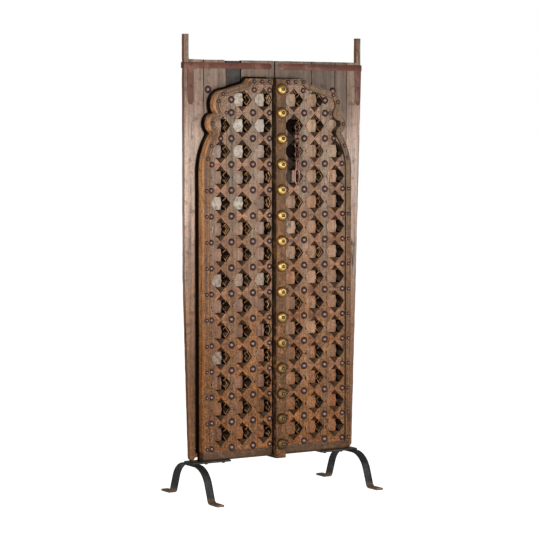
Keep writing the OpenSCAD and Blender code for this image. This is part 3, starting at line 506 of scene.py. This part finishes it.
def bevel(obj, width, segments=2, edge_slot=-1, outer_only=False):
    modifier = obj.modifiers.new("worn edges", "BEVEL")
    modifier.width = width * MM
    modifier.segments = segments
    modifier.limit_method = "WEIGHT" if outer_only else "ANGLE"
    modifier.angle_limit = SHARP
    modifier.harden_normals = False
    modifier.material = edge_slot
    if outer_only:
        weigh_outer_edges(obj.data)
    apply_all(obj)


# Marks the edges that stand out, so that inner corners stay sharp
def weigh_outer_edges(mesh):
    faces_of = {}
    for face in mesh.polygons:
        for key in face.edge_keys:
            faces_of.setdefault(key, []).append(face)
    weights = []
    for edge in mesh.edges:
        faces = faces_of.get(edge.key, [])
        outer = False
        if len(faces) == 2 and faces[0].normal.angle(faces[1].normal, 0.0) > SHARP:
            outer = (faces[1].center - mesh.vertices[edge.vertices[0]].co).dot(faces[0].normal) < 0
        weights.append(1.0 if outer else 0.0)
    mesh.attributes.new("bevel_weight_edge", "FLOAT", "EDGE").data.foreach_set("value", weights)


def slice_grid(obj, z_step, x_step):
    low, high = Vector(min_corner(obj)), Vector(max_corner(obj))
    cuts = [((0, 0, z), (0, 0, 1)) for z in steps(low.z, high.z, z_step)]
    cuts += [((x, 0, 0), (1, 0, 0)) for x in steps(low.x, high.x, x_step)]
    select_only(obj)
    bpy.ops.object.mode_set(mode="EDIT")
    for point, direction in cuts:
        bpy.ops.mesh.select_all(action="SELECT")
        bpy.ops.mesh.bisect(plane_co=point, plane_no=direction)
    bpy.ops.object.mode_set(mode="OBJECT")


def min_corner(obj):
    return [min(v.co[k] for v in obj.data.vertices) for k in range(3)]


def max_corner(obj):
    return [max(v.co[k] for v in obj.data.vertices) for k in range(3)]


def steps(low, high, size):
    count = int((high - low) / (size * MM))
    return [low + (high - low) * (n + 1) / (count + 1) for n in range(count)]


# Wears a face back, never outwards
def wear(obj, texture, depth):
    modifier = obj.modifiers.new("wear", "DISPLACE")
    modifier.texture = texture
    modifier.texture_coords = "LOCAL"
    modifier.strength = depth * MM
    modifier.mid_level = 1.0
    apply_all(obj)


def smooth(obj, angle=38):
    select_only(obj)
    bpy.ops.object.shade_smooth_by_angle(angle=math.radians(angle))


# Number of the connected piece that each vertex belongs to
def islands(mesh):
    parent = list(range(len(mesh.vertices)))

    def root(v):
        while parent[v] != v:
            parent[v] = parent[parent[v]]
            v = parent[v]
        return v

    for edge in mesh.edges:
        a, b = root(edge.vertices[0]), root(edge.vertices[1])
        if a != b:
            parent[a] = b
    return [root(v) for v in range(len(parent))]


# Gives each connected piece its own value of a mesh attribute
def paint(obj, name, value_at):
    mesh = obj.data
    owner = islands(mesh)
    members = {}
    for index, island in enumerate(owner):
        members.setdefault(island, []).append(index)
    values = [0.0] * len(owner)
    order = sorted(members.values(), key=lambda vs: tuple(round(c, 4) for c in centre(mesh, vs)))
    for vertices in order:
        value = value_at(centre(mesh, vertices))
        for v in vertices:
            values[v] = value
    mesh.attributes.new(name, "FLOAT", "POINT").data.foreach_set("value", values)


def centre(mesh, vertices):
    total = Vector((0, 0, 0))
    for v in vertices:
        total += mesh.vertices[v].co
    return total / len(vertices)


# Edges of a node's front face, as pairs of points in the plane of the door
def front_outline(node):
    shape = copy_of(node, "outline")
    mesh = shape.data
    front = min(v.co.y for v in mesh.vertices) + FRONT_SLACK
    points = [Vector((v.co.x, v.co.z)) if v.co.y < front else None for v in mesh.vertices]
    pairs = [tuple(points[v] for v in e.vertices) for e in mesh.edges]
    bpy.data.objects.remove(shape)
    return [pair for pair in pairs if None not in pair]


# Distance from a point to the line between a pair of points
def reach(point, pair):
    a, b = pair
    along = b - a
    share = max(0.0, min(1.0, (point - a).dot(along) / max(along.length_squared, TINY)))
    return (a + along * share - point).length


# Painted shadow that the arch casts on the front of the boards close beside it
def paint_arch_shadow(obj, outline, width, amount):
    middle = (min_corner(obj)[1] + max_corner(obj)[1]) / 2
    values = []
    for v in obj.data.vertices:
        share = 0.0
        if v.co.y < middle:
            gap = min(reach(Vector((v.co.x, v.co.z)), pair) for pair in outline)
            share = max(0.0, 1.0 - gap / (width * MM))
        values.append(amount * share)
    obj.data.attributes.new("arch_shadow", "FLOAT", "POINT").data.foreach_set("value", values)


# Opens edit mode with the foremost faces selected
def select_front(obj):
    front = min(v.co.y for v in obj.data.vertices) + FRONT_SLACK
    select_only(obj)
    bpy.ops.object.mode_set(mode="EDIT")
    bpy.ops.mesh.select_mode(type="FACE")
    bpy.ops.mesh.select_all(action="DESELECT")
    bpy.ops.object.mode_set(mode="OBJECT")
    for face in obj.data.polygons:
        face.select = all(obj.data.vertices[v].co.y < front for v in face.vertices)
    bpy.ops.object.mode_set(mode="EDIT")


# Cuts a shallow band into the front face, with a rim left on each side
def carve_band(obj, rim, slope, depth):
    select_front(obj)
    bpy.ops.mesh.inset(thickness=rim * MM, depth=0.0)
    bpy.ops.mesh.inset(thickness=slope * MM, depth=-depth * MM)
    bpy.ops.mesh.select_mode(type="VERT")
    bpy.ops.object.mode_set(mode="OBJECT")


def finish_piece(obj, node, *names):
    for name in names:
        obj.data.materials.append(materials[name])
    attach(obj, body_of[node])
    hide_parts(node)


chance = random.Random(41)
soft_wear = bpy.data.textures.new("soft wear", "CLOUDS")
soft_wear.noise_scale = 0.045
soft_wear.noise_depth = 3


# Each connected piece of wood gets a tone of its own
def tint(obj, spread, tone=0.0):
    paint(obj, "tint", lambda c: tone + chance.uniform(-spread, spread))


# How much the tone differs between boards, between other pieces and between blocks
BOARD_SPREAD, PIECE_SPREAD, BLOCK_SPREAD = 0.1, 0.6, 0.7
STILE_TONE = 0.1
# The painted shadow beside the arch is strong on the left leaf and faint on the right one
ARCH_SHADOW_AMOUNTS = {"left": 1.0, "right": 0.3}
# How much darker than the hinge stiles each board has turned
BOARD_TONES = {"left_plank_outer": -0.05, "left_plank_inner": -0.5, "right_plank_inner": -1.0,
               "right_plank_middle": -1.3, "right_plank_outer": -0.95}


def board_material(node):
    if "sunk" in node:
        return "dark board"
    return "hinge stile" if "stile" in node else "board"


for side in ("left", "right"):
    arch = front_outline(f"{side}_arch_border")
    boards = [n for n in nodes if n.startswith(side) and ("plank" in n or "hinge_stile" in n)]
    for node in sorted(boards):
        piece = copy_of(node, node + "_worn")
        bevel(piece, width=2.0)
        slice_grid(piece, z_step=10, x_step=9)
        wear(piece, soft_wear, depth=2.6)
        smooth(piece)
        paint_arch_shadow(piece, arch, width=15, amount=ARCH_SHADOW_AMOUNTS[side])
        tint(piece, BOARD_SPREAD, BOARD_TONES.get(node, 0.0))
        finish_piece(piece, node, board_material(node))
    for label, material, width in (
        ("back_ledges", "ledge", 2.5), ("field_board", "field", 1.6), ("arch_border", f"{side} border", 4.0),
        ("bottom_rail", "bottom", 2.5),
    ):
        node = f"{side}_{label}"
        piece = copy_of(node, node + "_worn")
        bevel(piece, width)
        if label == "arch_border":
            carve_band(piece, rim=4.5, slope=2.0, depth=2.2)
        smooth(piece)
        tint(piece, PIECE_SPREAD)
        finish_piece(piece, node, material)
    for label, material in (
        ("cross_rails", "rail"), ("corner_block", "rail"), ("upright_1", "upright"), ("upright_2", "upright"),
        ("upright_3", "upright"), ("upright_4", "upright"),
    ):
        node = f"{side}_{label}"
        piece = copy_of(node, node + "_worn")
        piece.data.materials.append(materials[material])
        piece.data.materials.append(materials["worn edge"])
        bevel(piece, width=1.4, segments=1, edge_slot=1, outer_only=True)
        smooth(piece)
        tint(piece, PIECE_SPREAD)
        finish_piece(piece, node)

# Old limewash clings to some blocks of the left leaf, by column outwards and row upwards
LIMEWASHED = {(1, 13): 0.85, (0, 13): 0.7, (1, 12): 1.0, (0, 12): 0.9, (1, 11): 0.85, (0, 11): 0.35,
              (1, 10): 0.25, (2, 9): 0.75, (1, 9): 0.9, (1, 8): 0.15, (2, 11): 0.3, (2, 6): 0.5, (1, 6): 0.35,
              (0, 6): 0.4, (2, 3): 0.4}
# Middle of the lowest inner block, and the steps to the next column and row, in metres
FIRST_COLUMN, COLUMN_STEP = 0.1, 0.1135
FIRST_ROW, ROW_STEP = 0.2845, 0.117
# A faint wash starts at a height, grows over a height and has a limit
FAINT_FROM, FAINT_RISE, FAINT_LIMIT = 0.5, 1.2, 0.3


def limewash(c):
    column = round((-c.x - FIRST_COLUMN) / COLUMN_STEP)
    row = round((c.z - FIRST_ROW) / ROW_STEP)
    height = min(1.0, max(0.0, (c.z - FAINT_FROM) / FAINT_RISE))
    return max(LIMEWASHED.get((column, row), 0.0), height * chance.uniform(0.0, FAINT_LIMIT))


for side in ("left", "right"):
    node = f"{side}_star_blocks"
    piece = copy_of(node, node + "_worn")
    bevel(piece, width=2.6)
    smooth(piece)
    tint(piece, BLOCK_SPREAD)
    paint(piece, "lime", limewash)
    finish_piece(piece, node, f"{side} block")

stile = copy_of("centre_stile", "centre_stile_worn")
bevel(stile, width=3.0, segments=3)
slice_grid(stile, z_step=30, x_step=14)
wear(stile, soft_wear, depth=3.0)
smooth(stile)
paint(stile, "tint", lambda c: STILE_TONE)
finish_piece(stile, "centre_stile", "stile")


# Brass bosses

# Turned rose, as radius and height in mm: a steep rim, a rounded dome and a flat seat for the nail
ROSE = [(26.4, 1.6), (25.8, 4.6), (24.8, 8.0), (22.6, 11.4), (19.0, 13.8), (14.8, 15.1),
        (10.8, 15.6), (9.0, 15.6), (8.4, 14.8)]
ROSE_SIDES = 32
# Below a height the bosses tarnish, more towards the floor, up to a limit
CLEAN_ABOVE, TARNISH_FALL, TARNISH_LIMIT = 1.05, 0.75, 0.9


# The front cap of a disc is stepped inwards and forwards along the profile
def model_rose():
    radius, height = ROSE[0]
    bpy.ops.object.select_all(action="DESELECT")
    bpy.ops.mesh.primitive_cylinder_add(
        vertices=ROSE_SIDES, radius=radius * MM, depth=height * MM, location=(0, -height / 2 * MM, 0),
        rotation=(math.pi / 2, 0, 0))
    obj = bpy.context.object
    bpy.ops.object.transform_apply(location=True, rotation=True, scale=True)
    select_front(obj)
    for (r0, h0), (r1, h1) in zip(ROSE, ROSE[1:]):
        bpy.ops.mesh.inset(thickness=(r0 - r1) * MM, depth=(h1 - h0) * MM)
    bpy.ops.mesh.select_mode(type="VERT")
    bpy.ops.object.mode_set(mode="OBJECT")
    smooth(obj, angle=40)
    return obj


def tarnish(c):
    share = min(1.0, max(0.0, (CLEAN_ABOVE - c.z) / TARNISH_FALL))
    return share * TARNISH_LIMIT + chance.uniform(-0.1, 0.12)


seat_copy = copy_of("brass_bosses", "boss_places")
seats = {}
for vertex, island in zip(seat_copy.data.vertices, islands(seat_copy.data)):
    seats.setdefault(island, []).append(vertex.co.copy())
bpy.data.objects.remove(seat_copy)
first_rose = model_rose()
roses = []
for points in sorted(seats.values(), key=lambda vs: min(v.z for v in vs)):
    low = [min(v[k] for v in points) for k in range(3)]
    high = [max(v[k] for v in points) for k in range(3)]
    mesh = first_rose.data.copy()
    mesh.transform(Matrix.Translation(((low[0] + high[0]) / 2, high[1], (low[2] + high[2]) / 2)))
    roses.append(bpy.data.objects.new("boss", mesh))
    bpy.context.scene.collection.objects.link(roses[-1])
bpy.data.objects.remove(first_rose)
bosses = roses[0]
select_only(bosses)
for obj in roses:
    obj.select_set(True)
bpy.ops.object.join()
bosses.name = "turned_brass_bosses"
paint(bosses, "tarnish", tarnish)
finish_piece(bosses, "brass_bosses", "brass")


# Iron

for side in ("left", "right"):
    for label, material, width in (
        ("corner_strap", "strap", 0.9), ("foot_bar", "foot", 2.2), ("foot_plate", "foot", 1.2),
        ("hinge_plates", "chain", 0.4),
    ):
        node = f"{side}_{label}"
        piece = copy_of(node, node + "_worn")
        bevel(piece, width)
        smooth(piece)
        finish_piece(piece, node, material)

hasp = copy_of("chain_hasp", "hasp_worn")
bevel(hasp, width=0.9)
smooth(hasp)
finish_piece(hasp, "chain_hasp", "chain")

# CAD pieces that stay as they are, by a word in their names, and the material that each gets
plain = {"studs": "stud", "rivets": "strap", "bolts": "foot", "nails": "nail", "pins": "chain",
         "chain": "chain"}
for name, obj in nodes.items():
    for word, material in plain.items():
        if word in name and not name.endswith("hasp"):
            obj.data.materials.clear()
            obj.data.materials.append(materials[material])


# Floor, light and camera

FLOOR_SIZE, FLOOR_GLOW = 60, 0.88
WORLD_LIGHT = 0.20
LENS, SENSOR_WIDTH = 139.4, 36.0
CAMERA_PLACE = (-5.060, -8.196, 1.657)
CAMERA_DIP, CAMERA_TURN = math.radians(3.759), math.radians(-31.509)

bpy.ops.object.select_all(action="DESELECT")
bpy.ops.mesh.primitive_plane_add(size=FLOOR_SIZE)
floor = bpy.context.object
floor.name = "floor"
mat, g, shader, place = new_material("pale floor")
shader.inputs["Base Color"].default_value = (0.9, 0.9, 0.9, 1)
shader.inputs["Roughness"].default_value = 0.9
seen = g.add("ShaderNodeLightPath").outputs["Is Camera Ray"]
shader.inputs["Emission Color"].default_value = (1, 1, 1, 1)
g.put(shader.inputs["Emission Strength"], g.math("MULTIPLY", seen, FLOOR_GLOW))
floor.data.materials.append(mat)


def area(name, place, target, size, power, tone=(1, 1, 1)):
    data = bpy.data.lights.new(name, "AREA")
    data.shape = "DISK"
    data.size = size
    data.energy = power
    data.color = tone
    lamp = bpy.data.objects.new(name, data)
    bpy.context.scene.collection.objects.link(lamp)
    lamp.location = place
    lamp.rotation_euler = (Vector(target) - Vector(place)).to_track_quat("-Z", "Y").to_euler()


area("key", (-1.5, -5.6, 1.3), target=(0, 0, 1.05), size=0.5, power=258.0, tone=(1.0, 0.985, 0.96))
area("wide box", (2.7, -4.7, 1.0), target=(0, 0, 1.05), size=1.2, power=92.0)
area("fill", (-6.0, -2.6, 2.4), target=(0, 0, 1.0), size=3.0, power=150.0, tone=(1.0, 0.98, 0.95))

world = bpy.data.worlds.new("studio")
bpy.context.scene.world = world
world.use_nodes = True
g = Graph(world.node_tree)
background = world.node_tree.nodes["Background"]
background.inputs["Color"].default_value = (1, 1, 1, 1)
seen = g.add("ShaderNodeLightPath").outputs["Is Camera Ray"]
g.put(background.inputs["Strength"], g.math("MAXIMUM", seen, WORLD_LIGHT))

camera = bpy.data.objects.new("camera", bpy.data.cameras.new("camera"))
bpy.context.scene.collection.objects.link(camera)
camera.data.lens = LENS
camera.data.sensor_width = SENSOR_WIDTH
camera.location = CAMERA_PLACE
camera.rotation_euler = (math.pi / 2 - CAMERA_DIP, 0, CAMERA_TURN)
bpy.context.scene.camera = camera
bpy.context.scene.view_settings.view_transform = "Standard"
